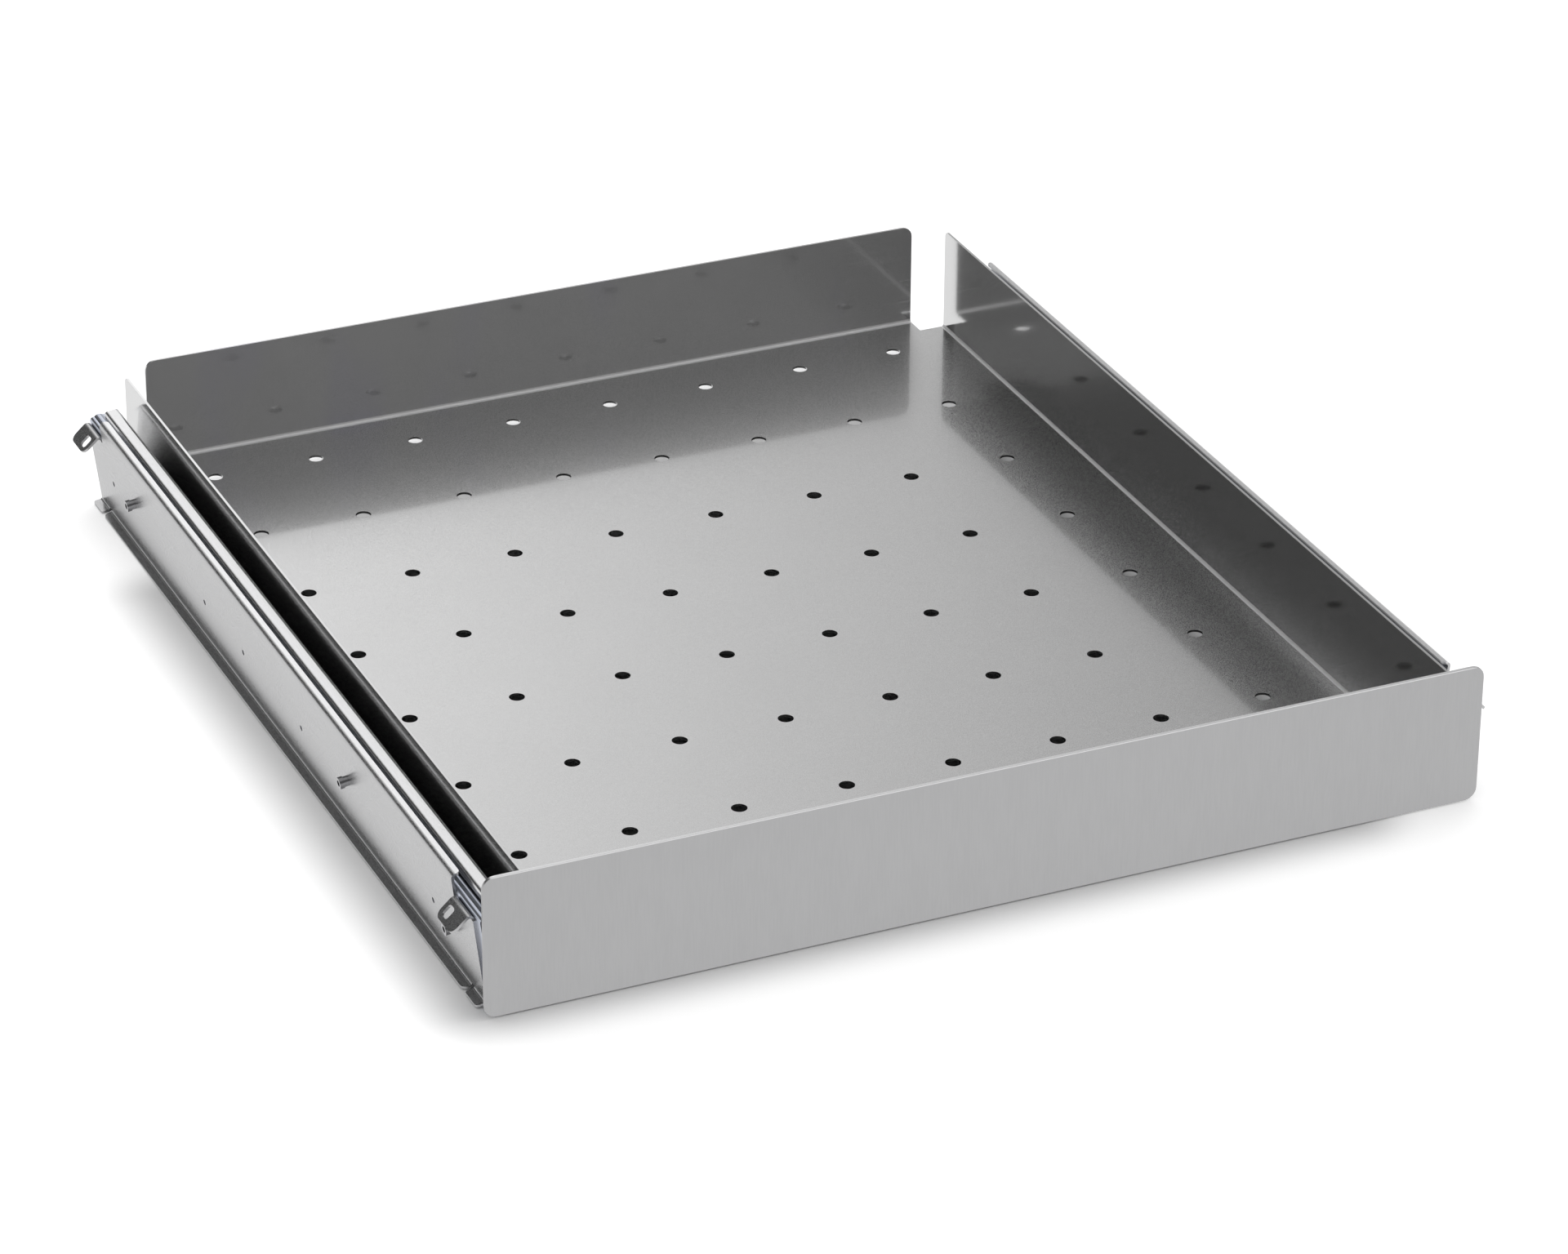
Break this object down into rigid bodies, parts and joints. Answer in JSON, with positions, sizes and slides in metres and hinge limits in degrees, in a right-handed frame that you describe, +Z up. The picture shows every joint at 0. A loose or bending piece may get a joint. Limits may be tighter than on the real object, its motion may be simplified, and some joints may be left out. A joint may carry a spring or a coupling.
{
  "type": "pull-out perforated tray",
  "caption": "Shallow perforated steel pull-out tray with flat fascia, on telescopic ball-bearing runners held by slotted hook-in side brackets.",
  "frame": {"origin": "on the surface that the brackets' foot lips stand on, midway between the two brackets and midway between the fascia's front and the tray's rear flange", "axes": "+X to the right seen from the front, +Y to the back, +Z up; the drawer pulls out along -Y"},
  "size_m": [0.4754, 0.511, 0.065],
  "materials": {
    "tray_steel": "bright cold-rolled stainless sheet, nearly a mirror",
    "fascia_steel": "satin ground stainless plate, fine grain up and down",
    "carrier_steel": "bright rolled stainless sheet",
    "bracket_steel": "satin stainless sheet",
    "zinc": "bluish zinc plate",
    "cage_steel": "pressed steel strip",
    "ball_steel": "polished",
    "fastener_steel": "turned stainless steel, bright rim",
    "stop_plastic": "moulded"
  },
  "bodies": {
    "side_brackets": {"left_bracket": "bracket_steel", "right_bracket": "bracket_steel", "left_bracket_studs": "fastener_steel", "right_bracket_studs": "fastener_steel", "left_outer_rail": "zinc", "right_outer_rail": "zinc", "left_end_stop": "stop_plastic", "right_end_stop": "stop_plastic"},
    "drawer": {"tray": "tray_steel", "fascia": "fascia_steel", "fascia_studs": "fastener_steel", "fascia_nuts": "fastener_steel", "left_carrier": "carrier_steel", "right_carrier": "carrier_steel", "left_inner_rail": "zinc", "right_inner_rail": "zinc", "left_inner_rivets": "fastener_steel", "right_inner_rivets": "fastener_steel"},
    "left_middle": {"left_middle_rail": "zinc"},
    "left_outer_ball_cage": {"left_outer_cage": "cage_steel", "left_outer_balls": "ball_steel"},
    "left_inner_ball_cage": {"left_inner_cage": "cage_steel", "left_inner_balls": "ball_steel"},
    "right_middle": {"right_middle_rail": "zinc"},
    "right_outer_ball_cage": {"right_outer_cage": "cage_steel", "right_outer_balls": "ball_steel"},
    "right_inner_ball_cage": {"right_inner_cage": "cage_steel", "right_inner_balls": "ball_steel"}
  },
  "joints": [
    {"name": "drawer_slide", "type": "slide", "parent": "side_brackets", "child": "drawer", "axis": [0, -1, 0], "range_m": [0, 0.45]},
    {"name": "left_middle_slide", "type": "slide", "parent": "side_brackets", "child": "left_middle", "axis": [0, -1, 0], "range_m": [0, 0.225]},
    {"name": "left_outer_cage_slide", "type": "slide", "parent": "side_brackets", "child": "left_outer_ball_cage", "axis": [0, -1, 0], "range_m": [0, 0.1125]},
    {"name": "left_inner_cage_slide", "type": "slide", "parent": "left_middle", "child": "left_inner_ball_cage", "axis": [0, -1, 0], "range_m": [0, 0.1125]},
    {"name": "right_middle_slide", "type": "slide", "parent": "side_brackets", "child": "right_middle", "axis": [0, -1, 0], "range_m": [0, 0.225]},
    {"name": "right_outer_cage_slide", "type": "slide", "parent": "side_brackets", "child": "right_outer_ball_cage", "axis": [0, -1, 0], "range_m": [0, 0.1125]},
    {"name": "right_inner_cage_slide", "type": "slide", "parent": "right_middle", "child": "right_inner_ball_cage", "axis": [0, -1, 0], "range_m": [0, 0.1125]}
  ],
  "couplings": [
    {"joint": "left_middle_slide", "follows": "drawer_slide", "ratio": 0.5},
    {"joint": "left_outer_cage_slide", "follows": "drawer_slide", "ratio": 0.25},
    {"joint": "left_inner_cage_slide", "follows": "drawer_slide", "ratio": 0.25},
    {"joint": "right_middle_slide", "follows": "drawer_slide", "ratio": 0.5},
    {"joint": "right_outer_cage_slide", "follows": "drawer_slide", "ratio": 0.25},
    {"joint": "right_inner_cage_slide", "follows": "drawer_slide", "ratio": 0.25}
  ]
}
